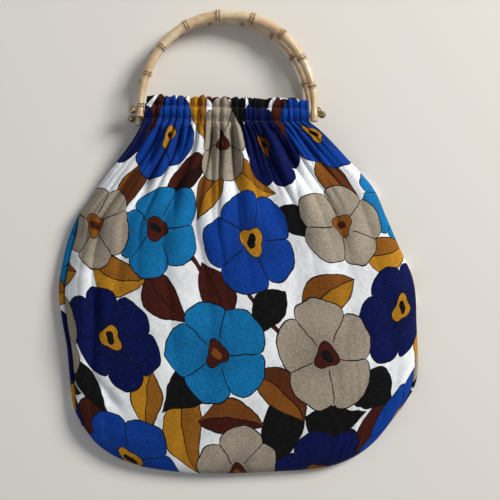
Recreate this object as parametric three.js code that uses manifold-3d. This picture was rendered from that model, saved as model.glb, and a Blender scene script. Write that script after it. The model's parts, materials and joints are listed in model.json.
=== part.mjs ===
// A gathered cloth handbag with two arched bamboo handles, lying flat on its back panel.
// The top of each cloth panel is a rod pocket with a frill above it. A metal rod runs through the pocket,
// through a hole in each foot of a bamboo handle, and ends in a screwed ball on either side.
// The panels are sewn together round the bottom and the lower sides, and open as slits beside the mouth.
// Units are millimetres: X across the bag, Y up towards the handles, Z up from the table.
import * as THREE from "three";
import { LoftGeometry } from "three/addons/geometries/LoftGeometry.js";
import { mergeVertices } from "three/addons/utils/BufferGeometryUtils.js";
import Module from "manifold-3d";

const wasm = await Module();
wasm.setup();

// Rods, balls and the clearances between pieces
const rodRadius = 1.8;
const fitGap = 0.35;
const ballRadius = 3.5;
const ballFlat = 2.2; // from the ball's centre to the flat where the rod enters it
const ballBoreDepth = 3.8;
const ballStandOff = 1.2; // play between a handle foot and the ball outside it

// Bamboo handles: a cane bent into an arch, thinner towards its two cut feet
const handleHalfSpan = 84.7; // from the arch's middle to the centre of a foot
const handleHeight = 95.5; // from the rod to the cane's centre at the top of the arch
const handleSquareness = 2.12; // 2 is an ellipse, more is squarer
const footLength = 7; // cane below the rod
const caneRadiusLeftFoot = 3.8;
const caneRadiusTop = 5.2;
const caneRadiusRightFoot = 4.3;
const caneSides = 10;
const jointSpacing = [14, 29, 30, 32, 33, 34, 33, 31, 29]; // along the cane, from the left foot to each ring
const jointRise = 0.9; // how far a ring stands out of the cane
const jointHalfWidth = 2.2;

// Cloth
const clothThickness = 1.0;
const clothToCane = 0.5; // play between the pocket's open end and the handle leg beside it
const frillSlant = 2.5; // how much the frill's ends lean inwards over its height
const frillTop = 15; // above the rod
const upperStitch = 4.6; // above the rod
const lowerStitch = -7; // below the rod
const pocketWall = 0.9; // cloth between the rod's passage and the bottom of a gather
const gatherDepth = 2.4;
const gatherReach = 26; // how far below the stitches the gathers themselves run
const middleFolds = { merged: 2, reach: 26, depth: 2.1, phase: 0.7 }; // where two gathers have merged
const broadFolds = { merged: 4.4, reach: 62, depth: 2.6, phase: 2.1 };
const calmEdge = 0.07; // share of the panel's width beside its edges where folds die out
const clothEdgeGap = 0.5; // between the two panels' edges along the seam
const slitEnd = 0.31; // share of the panel's length where the side slit ends and the seam starts
const seamHeight = 11;
const bellyHeight = 30;
const backRodHeight = 7;
const frontRodHeight = 23;

// Where the two rods lie on the table, and how far each is turned from straight across the bag
const frontRod = { x: -9.6, y: 124.7, z: frontRodHeight, turn: -1.5 };
const backRod = { x: -12.5, y: 124.7, z: backRodHeight, turn: 2.5 };
const tableGap = 0.2; // under the rings of the back handle
const stackGap = 0.4; // between the two handles' rings

// The panels' outline from the foot of the pocket down: the slit and seam on each side, and the bottom
const leftSide = [[-103.4, 96.2], [-127.6, 66.4], [-154.5, 30.2], [-166.1, 6.3], [-173.2, -20.1],
  [-177.2, -47.2], [-174.5, -76], [-169.4, -104.7], [-166.5, -135], [-162.5, -165], [-151.2, -186.1]];
const rightSide = [[82.4, 106.1], [106.3, 82.6], [134, 53], [147.5, 24], [161.5, -8.7], [173, -34],
  [177, -55], [177.8, -80], [179.2, -125.6], [174.5, -147], [160, -167]];
const bottomEdge = [[-138.5, -202.5], [-115, -217.5], [-84.5, -226.5], [-34, -231.5], [20.3, -230.3],
  [78.6, -226.5], [111, -217.3], [136.7, -198.7]];

const cottonPrint = new THREE.MeshStandardMaterial({ color: 0x2c5f8f, roughness: 0.9, metalness: 0 });
const bamboo = new THREE.MeshStandardMaterial({ color: 0xcfae7a, roughness: 0.45, metalness: 0 });
const agedBrass = new THREE.MeshStandardMaterial({ color: 0x8a7f63, roughness: 0.35, metalness: 1 });

const degrees = THREE.MathUtils.degToRad;
const { clamp, lerp, smoothstep } = THREE.MathUtils;

// The back handle leans down onto the table, and the front one onto the back one
const ringRadiusTop = caneRadiusTop + jointRise;
const backArchTopHeight = tableGap + ringRadiusTop;
const frontArchTopHeight = backArchTopHeight + 2 * ringRadiusTop + stackGap;

// The pocket fills the space between the handle's two legs
const caneFootRadius = Math.max(caneRadiusLeftFoot, caneRadiusRightFoot);
const pocketHalfWidth = handleHalfSpan - caneFootRadius - jointRise - clothToCane;

// Solids for cutting

function solidOf(geometry) {
  const bare = new THREE.BufferGeometry();
  bare.setAttribute("position", geometry.getAttribute("position"));
  bare.setIndex(geometry.getIndex());
  const merged = mergeVertices(bare, 1e-4);
  return new wasm.Manifold(new wasm.Mesh({
    numProp: 3,
    vertProperties: merged.getAttribute("position").array,
    triVerts: new Uint32Array(merged.getIndex().array),
  }));
}

function geometryOf(solid) {
  const mesh = solid.getMesh();
  const geometry = new THREE.BufferGeometry();
  geometry.setAttribute("position", new THREE.BufferAttribute(mesh.vertProperties, mesh.numProp));
  geometry.setIndex(new THREE.BufferAttribute(mesh.triVerts, 1));
  geometry.computeVertexNormals();
  return geometry;
}

// A round bar along X, centred on its own origin
function barAlongX(radius, length, sides) {
  return new THREE.CylinderGeometry(radius, radius, length, sides).rotateZ(-Math.PI / 2);
}

// Bamboo handle

// The cane's centreline in the rod's own frame: up the left leg, over the arch and down the right leg
class ArchLine extends THREE.Curve {
  getPoint(t, target = new THREE.Vector3()) {
    const archLength = Math.PI * 0.5 * (handleHalfSpan + handleHeight);
    const legShare = footLength / (archLength + 2 * footLength);
    if (t < legShare) return target.set(-handleHalfSpan, -footLength * (1 - t / legShare), 0);
    if (t > 1 - legShare) return target.set(handleHalfSpan, -footLength * (1 - (1 - t) / legShare), 0);
    const angle = Math.PI * (t - legShare) / (1 - 2 * legShare);
    const power = 2 / handleSquareness;
    const across = Math.abs(Math.cos(angle)) ** power * Math.sign(Math.cos(angle));
    return target.set(-handleHalfSpan * across, handleHeight * Math.sin(angle) ** power, 0);
  }
}

function caneRadius(along, length) {
  const share = along / length;
  const foot = share < 0.5 ? caneRadiusLeftFoot : caneRadiusRightFoot;
  return lerp(foot, caneRadiusTop, Math.sin(Math.PI * share) ** 0.8);
}

// How far a ring stands out at this place along the cane: a sharp lip, then a shallow waist
function ringRise(along, rings) {
  let rise = 0;
  for (const ring of rings) {
    const away = (along - ring) / jointHalfWidth;
    rise += jointRise * Math.exp(-4 * away * away) - 0.25 * jointRise * Math.exp(-4 * (away - 1.3) ** 2);
  }
  return rise;
}

function ringPlaces() {
  let along = 0;
  return jointSpacing.map((step) => (along += step));
}

function handleGeometry() {
  const line = new ArchLine();
  line.arcLengthDivisions = 800;
  const length = line.getLength();
  const rings = ringPlaces().filter((ring) => ring < length - footLength);
  const stations = new Set([0, length]);
  for (const ring of rings) {
    for (const away of [-1, 0, 0.8, 2]) stations.add(ring + away * jointHalfWidth);
  }
  for (let along = 8; along < length - 5; along += 12) {
    if (rings.every((ring) => Math.abs(along - ring) > 3 * jointHalfWidth)) stations.add(along);
  }
  const sections = [...stations].sort((a, b) => a - b).map((along) => {
    const centre = line.getPointAt(along / length);
    const tangent = line.getTangentAt(clamp(along / length, 0.001, 0.999));
    const outward = new THREE.Vector3(-tangent.y, tangent.x, 0);
    const radius = caneRadius(along, length) + ringRise(along, rings);
    return Array.from({ length: caneSides }, (_, k) => {
      const angle = (2 * Math.PI * (k + 0.5)) / caneSides;
      return centre.clone()
        .addScaledVector(outward, radius * Math.cos(angle))
        .add(new THREE.Vector3(0, 0, radius * Math.sin(angle)));
    });
  });
  const cane = solidOf(new LoftGeometry(sections, { capStart: true, capEnd: true }));
  const rodHole = solidOf(barAlongX(rodRadius + fitGap, 3 * handleHalfSpan, 16));
  return geometryOf(cane.subtract(rodHole));
}

// Rod and its screwed balls

const ballCentre = handleHalfSpan + caneFootRadius + ballStandOff + ballFlat;
const rodHalfLength = ballCentre - ballFlat + ballBoreDepth - fitGap;

// A ball with a blind hole, its axis along Y and its flat facing -Y
function ballGeometry() {
  const bore = rodRadius + fitGap;
  const startAngle = Math.acos(ballFlat / ballRadius);
  const profile = [
    new THREE.Vector2(0, ballBoreDepth - ballFlat),
    new THREE.Vector2(bore, ballBoreDepth - ballFlat),
    new THREE.Vector2(bore, -ballFlat),
  ];
  const steps = 6;
  for (let i = 0; i <= steps; i++) {
    const angle = lerp(startAngle, Math.PI, i / steps);
    const r = i === steps ? 0 : ballRadius * Math.sin(angle);
    profile.push(new THREE.Vector2(r, -ballRadius * Math.cos(angle)));
  }
  return new THREE.LatheGeometry(profile, 12);
}

// Cloth panels

function outlinePath(points) {
  return new THREE.CatmullRomCurve3(points.map(([x, y]) => new THREE.Vector3(x, y, 0)), false, "centripetal");
}

// A point given in a rod's own frame, in the bag's frame
function fromRod(rod, x, y, z) {
  return new THREE.Vector3(x, y, z)
    .applyAxisAngle(new THREE.Vector3(0, 0, 1), degrees(rod.turn))
    .add(new THREE.Vector3(rod.x, rod.y, rod.z));
}

// The four edges of a panel's body: the foot of its pocket, its two sides and its bottom
function bodyEdges(rod) {
  const topLeft = fromRod(rod, -pocketHalfWidth, lowerStitch, 0);
  const topRight = fromRod(rod, pocketHalfWidth, lowerStitch, 0);
  const flat = (corner) => [corner.x, corner.y];
  return {
    topLeft, topRight,
    left: outlinePath([flat(topLeft), ...leftSide]),
    right: outlinePath([flat(topRight), ...rightSide]),
    bottom: outlinePath([leftSide.at(-1), ...bottomEdge, rightSide.at(-1)]),
  };
}

// A point inside the four edges: s runs from left to right, t from the pocket to the bottom
function insideEdges(edges, s, t) {
  const { topLeft, topRight, left, right, bottom } = edges;
  const l = left.getPointAt(t);
  const r = right.getPointAt(t);
  const b = bottom.getPointAt(s);
  const blend = (axis) => {
    const top = lerp(topLeft[axis], topRight[axis], s);
    const low = lerp(bottom.points[0][axis], bottom.points.at(-1)[axis], s);
    return lerp(top, b[axis], t) + lerp(l[axis], r[axis], s) - lerp(top, low, t);
  };
  return new THREE.Vector2(blend("x"), blend("y"));
}

// Gathers: a wave across the cloth, each lobe a little different from the next
function unevenness(lobe) {
  return 0.85 + 0.3 * Math.abs(Math.sin(lobe * 12.9898 + 4.1));
}

function gather(panel, across) {
  const lobe = across * panel.lobes;
  return Math.cos(2 * Math.PI * lobe) * unevenness(Math.round(lobe));
}

// Folds that run down from the gathers, merging into fewer and broader ones
function bodyFolds(panel, across, below) {
  const swell = (reach) => (below / reach) * Math.exp(1 - below / reach);
  const fold = ({ merged, reach, depth, phase }) =>
    depth * swell(reach) * Math.cos(2 * Math.PI * (panel.lobes / merged) * across + phase);
  const fine = panel.stitchDepth * gather(panel, across) * Math.exp(-((below / gatherReach) ** 2));
  const fromSide = Math.min(across, 1 - across) / calmEdge;
  const broad = panel.foldShare * (fold(middleFolds) + fold(broadFolds));
  return fine * Math.min(1, 3 * fromSide) + broad * Math.min(1, fromSide);
}

// The middle of the cloth's thickness at a place in the panel's body
function bodySurface(panel, across, t) {
  const crowded = lerp(across, (1 - Math.cos(Math.PI * across)) / 2, 0.3 * smoothstep(t, 0.02, 0.5));
  const place = insideEdges(panel.edges, crowded, t);
  const away = Math.abs(2 * crowded - 1);
  const rise = Math.sqrt(Math.max(0, 1 - away ** panel.edgePower)) * Math.sqrt(Math.max(0, 1 - t ** 5));
  const edgeHeight = lerp(panel.rod.z, panel.seamHeight, smoothstep(t, 0, slitEnd));
  const fullHeight = lerp(panel.rod.z, panel.fullHeight, smoothstep(t, 0, panel.fullFrom));
  const below = t * panel.length;
  let height = lerp(edgeHeight, fullHeight, rise) + bodyFolds(panel, across, below) * Math.sqrt(1 - t);
  height = Math.max(height, clothThickness / 2);
  return new THREE.Vector3(place.x, place.y, height);
}

function surfaceNormal(panel, across, t) {
  const step = 1e-3;
  const alongS = bodySurface(panel, Math.min(1, across + step), t)
    .sub(bodySurface(panel, Math.max(0, across - step), t));
  const alongT = bodySurface(panel, across, Math.max(0, t - step))
    .sub(bodySurface(panel, across, Math.min(1, t + step)));
  return alongS.cross(alongT).normalize();
}

// Frill and pocket rows, in the rod's frame: each has its height above the rod, its half thickness and
// the depth of its gathers
const pocketHalf = rodRadius + fitGap + pocketWall;
const headRows = [
  { y: frillTop, half: clothThickness, depth: gatherDepth },
  { y: lerp(frillTop, upperStitch, 0.55), half: clothThickness, depth: gatherDepth },
  { y: upperStitch, half: clothThickness, depth: 0.75 * gatherDepth },
  { y: 2.2, half: pocketHalf, depth: gatherDepth },
  { y: -2.2, half: pocketHalf, depth: gatherDepth },
  { y: lowerStitch + 2.2, half: 1.6 * clothThickness, depth: 0.8 * gatherDepth },
];

function headPoint(panel, row, across, side) {
  const halfWidth = pocketHalfWidth - (frillSlant * Math.max(0, row.y)) / frillTop;
  const x = lerp(-halfWidth, halfWidth, across);
  const wave = gather(panel, across);
  const opened = row.half > 1.5 * clothThickness;
  const height = opened
    ? side * (row.half + 0.5 * row.depth * (1 + side * wave))
    : side * row.half + 0.9 * row.depth * wave;
  return fromRod(panel.rod, x, row.y, height);
}

function bodyPoint(panel, t, across, side) {
  const offset = (side * clothThickness) / 2;
  const point = bodySurface(panel, across, t).addScaledVector(surfaceNormal(panel, across, t), offset);
  point.z = clamp(point.z, panel.lowest, panel.highest);
  return point;
}

// A slab one cloth thick, laid over the head rows and the body rows
function panelGeometry(panel) {
  const rows = headRows.length + panel.bodyRows.length;
  const geometry = new THREE.BoxGeometry(1, 1, 1, panel.columns, rows - 1, 1);
  const position = geometry.getAttribute("position");
  for (let i = 0; i < position.count; i++) {
    const across = position.getX(i) + 0.5;
    const row = Math.round((0.5 - position.getY(i)) * (rows - 1));
    const side = Math.sign(position.getZ(i));
    const point = row < headRows.length
      ? headPoint(panel, headRows[row], across, side)
      : bodyPoint(panel, panel.bodyRows[row - headRows.length], across, side);
    position.setXYZ(i, point.x, point.y, point.z);
  }
  const passage = barAlongX(rodRadius + fitGap, 3 * pocketHalfWidth, 16)
    .rotateZ(degrees(panel.rod.turn))
    .translate(panel.rod.x, panel.rod.y, panel.rod.z);
  return geometryOf(solidOf(geometry).subtract(solidOf(passage)));
}

const bodyLength = 340; // of cloth, from the pocket to the bottom seam
const flatSink = 0.6; // levels the back panel's middle onto the table
const seamTop = seamHeight + clothEdgeGap / 2;
const seamBottom = seamHeight - clothEdgeGap / 2;
const frontPanel = {
  rod: frontRod, edges: bodyEdges(frontRod), columns: 88, lobes: 22, length: bodyLength,
  seamHeight: seamTop, lowest: seamTop, highest: Infinity, fullHeight: bellyHeight, fullFrom: 0.42,
  edgePower: 4, stitchDepth: 0.75 * gatherDepth, foldShare: 1,
  bodyRows: [0, 0.035, 0.085, 0.15, 0.23, 0.32, 0.42, 0.53, 0.65, 0.77, 0.88, 0.96, 1],
};
const backPanel = {
  rod: backRod, edges: bodyEdges(backRod), columns: 40, lobes: 10, length: bodyLength,
  seamHeight: seamBottom, lowest: 0, highest: seamBottom, fullHeight: -flatSink, fullFrom: 0.12,
  edgePower: 10, stitchDepth: 0.75 * gatherDepth, foldShare: 0,
  bodyRows: [0, 0.05, 0.12, 0.25, 0.45, 0.68, 0.88, 0.96, 1],
};

// Assembly

function named(name, geometry, material) {
  const mesh = new THREE.Mesh(geometry, material);
  mesh.name = name;
  return mesh;
}

// A rod with its balls and its handle, in place; the handle leans about the rod
function carrier(label, rod, archTopHeight) {
  const group = new THREE.Group();
  group.position.set(rod.x, rod.y, rod.z);
  group.rotation.z = degrees(rod.turn);
  group.add(named(`${label}_rod`, barAlongX(rodRadius, 2 * rodHalfLength, 16), agedBrass));
  for (const [side, sign] of [["left", -1], ["right", 1]]) {
    const ball = named(`${label}_ball_${side}`, ballGeometry(), agedBrass);
    ball.rotation.z = (-sign * Math.PI) / 2;
    ball.position.x = sign * ballCentre;
    group.add(ball);
  }
  const handle = named(`${label}_handle`, handleGeometry(), bamboo);
  handle.rotation.x = -Math.asin((rod.z - archTopHeight) / handleHeight);
  group.add(handle);
  return group;
}

const bag = new THREE.Group();
bag.add(named("front_panel", panelGeometry(frontPanel), cottonPrint));
bag.add(named("back_panel", panelGeometry(backPanel), cottonPrint));
bag.add(carrier("front", frontRod, frontArchTopHeight));
bag.add(carrier("back", backRod, backArchTopHeight));

// The origin is on the table, under the middle of the whole bag
const reach = new THREE.Box3().setFromObject(bag, true);
const middle = reach.getCenter(new THREE.Vector3());
bag.position.set(-middle.x, -middle.y, -reach.min.z);

export default bag;
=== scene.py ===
# %% [markdown]
# A gathered cloth handbag with bamboo handles.
# The bag lies flat. Two panels of printed cotton are gathered onto metal rods, and the rods run
# through the feet of two bent bamboo canes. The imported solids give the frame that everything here
# is built around: where the rods lie, how wide the cloth is, and what swings.

# %% Load the frame
import json
import math
from typing import NamedTuple

import bmesh
import bpy
import numpy as np
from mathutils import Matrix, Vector


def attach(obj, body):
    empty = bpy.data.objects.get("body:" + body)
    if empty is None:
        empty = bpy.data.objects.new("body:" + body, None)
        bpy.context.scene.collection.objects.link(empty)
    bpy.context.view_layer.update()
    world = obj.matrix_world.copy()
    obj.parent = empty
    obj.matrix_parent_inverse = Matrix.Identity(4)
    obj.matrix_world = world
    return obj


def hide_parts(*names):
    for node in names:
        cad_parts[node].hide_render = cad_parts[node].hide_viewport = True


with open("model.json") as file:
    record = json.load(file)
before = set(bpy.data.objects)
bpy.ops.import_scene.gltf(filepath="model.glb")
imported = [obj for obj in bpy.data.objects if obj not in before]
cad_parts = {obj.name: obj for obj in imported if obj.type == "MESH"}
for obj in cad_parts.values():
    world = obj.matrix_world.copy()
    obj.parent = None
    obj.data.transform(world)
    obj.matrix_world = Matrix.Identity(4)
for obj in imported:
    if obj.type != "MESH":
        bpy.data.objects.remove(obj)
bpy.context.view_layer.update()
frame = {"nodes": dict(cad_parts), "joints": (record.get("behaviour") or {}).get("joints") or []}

mm = 0.001
scene = bpy.context.scene
joints = {joint["name"]: joint for joint in frame["joints"]}

# %% [markdown]
# The camera looks straight down from about arm's length, as someone does who photographs a bag on
# a table. One pixel of the photo is one millimetre at the height of the table, so the lens follows
# from the distance and the width of the picture.

# %% Camera
rod_middle = Vector(joints["front_handle_swing"]["pos_m"])
rod_to_photo_middle = Vector((22.1, -134.2, 0)) * mm
photo_middle = Vector((rod_middle.x, rod_middle.y, 0)) + rod_to_photo_middle
camera_distance = 0.9
picture_width = 0.5
camera_data = bpy.data.cameras.new("camera")
camera_data.sensor_width = 36
camera_data.lens = camera_data.sensor_width * camera_distance / picture_width
camera = bpy.data.objects.new("camera", camera_data)
camera.location = photo_middle + Vector((0, 0, camera_distance))
scene.collection.objects.link(camera)
scene.camera = camera
print("lens", round(camera_data.lens, 1), "mm")

# %% [markdown]
# Materials, the world and Geometry Nodes are all graphs of small nodes. A few short helpers keep
# them readable: each makes one node, plugs in what it is given, and hands back its result.

# %% Helpers for node graphs


class Graph:
    """One node tree, with a method for each kind of node that this bag needs."""

    def __init__(self, tree):
        self.tree = tree

    def node(self, kind, inputs=None, **settings):
        made = self.tree.nodes.new(kind)
        for name, value in settings.items():
            setattr(made, name, value)
        for key, value in (inputs or {}).items():
            self.plug(value, made.inputs[key])
        return made

    def plug(self, value, socket):
        if isinstance(value, bpy.types.NodeSocket):
            self.tree.links.new(value, socket)
        else:
            socket.default_value = value

    def math(self, operation, *values):
        inputs = dict(enumerate(values))
        return self.node("ShaderNodeMath", inputs, operation=operation).outputs[0]

    def vector(self, operation, *values, result=0):
        inputs = dict(enumerate(values))
        return self.node("ShaderNodeVectorMath", inputs, operation=operation).outputs[result]

    def mix(self, factor, under, over, blend="MIX"):
        return self.node("ShaderNodeMix", {0: factor, 6: under, 7: over}, data_type="RGBA",
                         blend_type=blend).outputs[2]

    def ramp(self, value, low, high, to_low=0.0, to_high=1.0, smooth=True):
        """Spreads the values between low and high over to_low and to_high."""
        kind = "SMOOTHSTEP" if smooth else "LINEAR"
        inputs = {0: value, 1: low, 2: high, 3: to_low, 4: to_high}
        return self.node("ShaderNodeMapRange", inputs, interpolation_type=kind).outputs[0]

    def noise(self, place, scale, detail=3.0, roughness=0.5):
        inputs = {"Vector": place, "Scale": scale, "Detail": detail, "Roughness": roughness}
        return self.node("ShaderNodeTexNoise", inputs).outputs["Fac"]

    def bump(self, height, distance, strength, under=None):
        """A bump of this height, on top of another bump where one is given."""
        inputs = {"Height": height, "Distance": distance, "Strength": strength}
        if under is not None:
            inputs["Normal"] = under
        return self.node("ShaderNodeBump", inputs).outputs[0]

    def parts(self, vector):
        return self.node("ShaderNodeSeparateXYZ", {0: vector}).outputs

    def point(self, x, y, z=0.0):
        return self.node("ShaderNodeCombineXYZ", {0: x, 1: y, 2: z}).outputs[0]


def new_material(name):
    """A material, the graph that makes it, and the inputs of its surface."""
    material = bpy.data.materials.new(name)
    material.use_nodes = True
    surface = material.node_tree.nodes["Principled BSDF"].inputs
    return material, Graph(material.node_tree), surface


def rgb(hexadecimal):
    """A colour as the eye sees it, in the linear values that a shader needs."""
    levels = [int(hexadecimal[i:i + 2], 16) / 255 for i in (0, 2, 4)]
    return [((v + 0.055) / 1.055) ** 2.4 if v > 0.04045 else v / 12.92 for v in levels] + [1]


# %% [markdown]
# A broad lamp at the upper right gives soft shadows that fall to the lower left, and a weaker one
# fills them from the other side. The world lights the rest. A bright world would wash out the dark
# dyes, so it is dim as a light and pale only where the camera, a gloss or a glass looks at it.

# %% Light
scene.view_settings.view_transform = "Standard"


def area_lamp(name, place, size, power, colour):
    """A round lamp that looks at the middle of the table."""
    data = bpy.data.lights.new(name, "AREA")
    data.shape = "DISK"
    data.size = size
    data.energy = power
    data.color = colour
    lamp = bpy.data.objects.new(name, data)
    lamp.location = place
    lamp.rotation_euler = (-Vector(place)).to_track_quat("-Z", "Y").to_euler()
    scene.collection.objects.link(lamp)
    print(name, power, "W")


area_lamp("key_lamp", (2.2, 1.5, 1.75), 1.25, 110, (1, 0.97, 0.93))
area_lamp("fill_lamp", (-0.9, -0.5, 1.0), 1.2, 1.8, (0.93, 0.96, 1))

world_light, world_seen = 0.2, 0.82
world = bpy.data.worlds.new("studio")
world.use_nodes = True
studio = Graph(world.node_tree)
sky = world.node_tree.nodes["Background"].inputs
sky["Color"].default_value = (0.93, 0.95, 1, 1)
ray = studio.node("ShaderNodeLightPath").outputs
looked_at = studio.math("MAXIMUM", ray["Is Camera Ray"], ray["Is Glossy Ray"])
looked_at = studio.math("MAXIMUM", looked_at, ray["Is Transmission Ray"])
studio.plug(studio.ramp(looked_at, 0.0, 1.0, world_light, world_seen, smooth=False),
            sky["Strength"])
scene.world = world

# %% [markdown]
# The table is a plain pale floor. It isn't part of the bag.

# %% Floor
floor_material, _, floor_surface = new_material("pale_floor")
floor_surface["Base Color"].default_value = rgb("E9E6E0")
floor_surface["Roughness"].default_value = 0.9
bpy.ops.mesh.primitive_plane_add(size=6, location=(0, 0, 0))
floor = bpy.context.object
floor.name = "floor"
floor.data.materials.append(floor_material)
print("floor", round(floor.dimensions.x, 1), "m wide")

# %% [markdown]
# Every mesh here is built from rows of points. A grid of points becomes a sheet, and a chain of
# points becomes the line that a cane or a row of stitches follows. The faces are written so that
# they look outwards.

# %% Helpers for meshes


def mesh_object(name, points, faces, material=None):
    """A smooth mesh from its points and faces, as an object at the origin."""
    mesh = bpy.data.meshes.new(name)
    mesh.from_pydata([tuple(point) for point in points], [], faces)
    if material:
        mesh.materials.append(material)
    mesh.polygons.foreach_set("use_smooth", [True] * len(mesh.polygons))
    mesh.update()
    made = bpy.data.objects.new(name, mesh)
    scene.collection.objects.link(made)
    return made


def chain_object(name, points):
    """A chain of points joined by edges, which Geometry Nodes can turn into a curve."""
    chain = mesh_object(name, points, [])
    chain.data.edges.add(len(points) - 1)
    ends = [end for i in range(len(points) - 1) for end in (i, i + 1)]
    chain.data.edges.foreach_set("vertices", ends)
    return chain


def grid_faces(rows, columns, flip=False):
    """Quads between a grid's points, facing up when rows run down and columns to the right."""
    corner = np.arange(rows * columns).reshape(rows, columns)
    quads = [corner[1:, :-1], corner[1:, 1:], corner[:-1, 1:], corner[:-1, :-1]]
    quads = np.stack(quads, -1).reshape(-1, 4)
    return (quads[:, ::-1] if flip else quads).tolist()


def face_outwards(piece):
    """Turns the faces of a closed mesh outwards."""
    shape = bmesh.new()
    shape.from_mesh(piece.data)
    bmesh.ops.recalc_face_normals(shape, faces=shape.faces)
    shape.to_mesh(piece.data)
    shape.free()


# %% [markdown]
# Shapes are drawn with two more tools: a smooth line through a few measured points, and a step
# that rises gently from 0 to 1, which lets one form fade into another without a crease.

# %% Helpers for lines and fades


def smooth_path(points, steps=24):
    """A smooth line through points, cut into short pieces, with the share of its length at each."""
    p = np.array(points, float)
    p = np.vstack([2 * p[0] - p[1], p, 2 * p[-1] - p[-2]])
    line = []
    for a, b, c, d in zip(p, p[1:], p[2:], p[3:]):
        u = np.linspace(0, 1, steps, endpoint=False)[:, None]
        line.append(0.5 * (2 * b + (c - a) * u + (2 * a - 5 * b + 4 * c - d) * u ** 2
                           + (3 * b - a - 3 * c + d) * u ** 3))
    line = np.vstack(line + [p[-2:-1]])
    steps_long = np.linalg.norm(np.diff(line, axis=0), axis=1)
    length = np.concatenate([[0], np.cumsum(steps_long)])
    return line, length / length[-1]


def along(path, share):
    """The place on a path at a share of its length."""
    line, shares = path
    return np.stack([np.interp(share, shares, line[:, axis]) for axis in range(line.shape[1])], -1)


def smoothstep(value, low, high):
    share = np.clip((value - low) / (high - low), 0, 1)
    return share * share * (3 - 2 * share)


def near_edge(share):
    """How far a share lies from the nearer end, 0 or 1."""
    return np.minimum(share, 1 - share)


print("half way up a smooth step:", smoothstep(0.5, 0, 1))

# %% [markdown]
# The rods carry everything, so they come first. Each has a place and a turn, which the packed
# model's hinge axes give. A point on the cloth's head is given across the rod, above it and out of
# its plane, and this helper puts it in the bag.

# %% Rods


class Rod:
    """Where a rod lies, and which way it is turned."""

    def __init__(self, joint):
        self.place = np.array(joint["pos_m"])
        self.across = np.array(joint["axis"]) / np.linalg.norm(joint["axis"])
        self.up = np.array([-self.across[1], self.across[0], 0])

    def at(self, x, y, z):
        x, y, z = np.broadcast_arrays(x, y, z)
        return (self.place + x[..., None] * self.across + y[..., None] * self.up
                + z[..., None] * np.array([0, 0, 1]))


front_rod = Rod(joints["front_handle_swing"])
back_rod = Rod(joints["back_handle_swing"])
print("rods are", round((front_rod.place[2] - back_rod.place[2]) / mm, 1), "mm apart")

# %% [markdown]
# The outline of the cloth was measured on the photo, in the millimetres of the drawing, where the
# front rod's middle lies at drawn_rod. Four edges bound a panel: the gathered foot of its pocket,
# its two sides and its bottom. A Coons patch fills them: it blends opposite edges, so lines of
# cloth fan out from the gathers to the bottom seam as they do on the real bag.

# %% The outline of the panels
drawn_rod = np.array([-9.6, 124.7])
left_side = [
    [-103.4, 96.2], [-127.6, 66.4], [-154.5, 30.2], [-166.1, 6.3], [-173.2, -20.1],
    [-177.2, -47.2], [-174.5, -76], [-169.4, -104.7], [-166.5, -135], [-162.5, -165],
    [-151.2, -186.1],
]
right_side = [
    [82.4, 106.1], [106.3, 82.6], [134, 53], [147.5, 24], [161.5, -8.7], [173, -34],
    [177, -55], [177.8, -80], [179.2, -125.6], [174.5, -147], [160, -167],
]
bottom_edge = [
    [-138.5, -202.5], [-115, -217.5], [-84.5, -226.5], [-34, -231.5], [20.3, -230.3],
    [78.6, -226.5], [111, -217.3], [136.7, -198.7],
]
pocket_half_width = 79.7 * mm
pocket_foot = -7 * mm
outline_shift = front_rod.place[:2] - drawn_rod * mm


def placed(points):
    return np.array(points) * mm + outline_shift


def panel_edges(rod):
    """The four edges of a panel that hangs on this rod."""
    top = rod.at(np.array([-1, 1]) * pocket_half_width, pocket_foot, 0)[:, :2]
    left = np.vstack([top[0], placed(left_side)])
    right = np.vstack([top[1], placed(right_side)])
    bottom = np.vstack([left[-1], placed(bottom_edge), right[-1]])
    return top, smooth_path(left), smooth_path(right), smooth_path(bottom)


def coons(edges, s, t):
    """Places inside the edges: s runs from left to right, t from the pocket to the bottom."""
    top, left, right, bottom = edges
    s1, t1 = s[..., None], t[..., None]
    upper = top[0] * (1 - s1) + top[1] * s1
    lower = bottom[0][0] * (1 - s1) + bottom[0][-1] * s1
    across = along(left, t) * (1 - s1) + along(right, t) * s1
    down = upper * (1 - t1) + along(bottom, s) * t1
    return across + down - upper * (1 - t1) - lower * t1


print("panels are", round((placed(right_side)[:, 0].max() - placed(left_side)[:, 0].min()) / mm),
      "mm wide")

# %% [markdown]
# Gathering packs a wide cloth into a short pocket, so it buckles into round tubes with narrow
# valleys between them. Right below the stitches the tubes are small and many. Going down they run
# out one by one, and what is left merges into fewer and broader folds. Cloth simulation can find
# such folds, but here they have to stand where the photo shows them, so each set of folds is a rule
# with a count, a depth and a reach, and a fixed seed makes no two alike.

# %% Sets of gathers and folds


class FoldSet(NamedTuple):
    count: int  # across the panel
    depth: float  # millimetres
    start: float  # millimetres below the stitches
    shortest: float  # millimetres that the first of them to run out reaches down
    longest: float
    bulge: float  # sideways, as a share of a fold's width
    softness: float  # below 1 the crowns are broad, above 1 narrow


fold_sets = [
    FoldSet(23, 7.2, 0, 26, 95, 0.085, 0.8),
    FoldSet(12, 7.2, 12, 75, 190, 0.06, 0.9),
    FoldSet(6, 7.0, 45, 130, 280, 0.03, 1.3),
    FoldSet(37, 1.9, 0, 9, 30, 0.04, 0.9),
]
tubes, fine_pleats = fold_sets[0], fold_sets[3]
spare_folds = 8  # beyond those a panel's width holds, as uneven spacing pushes some in
depth_spread = (0.55, 1.3)
front_seed, back_seed = 5, 8
print(sum(kind.count for kind in fold_sets), "folds on each panel")

# %% [markdown]
# Numbered cells of a cosine would make all folds alike, so their spacing is first made uneven and
# their lines sway on the way down. The tubes' average height is taken off again, so that the cloth
# as a whole neither rises nor sinks where the folds begin.

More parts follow.
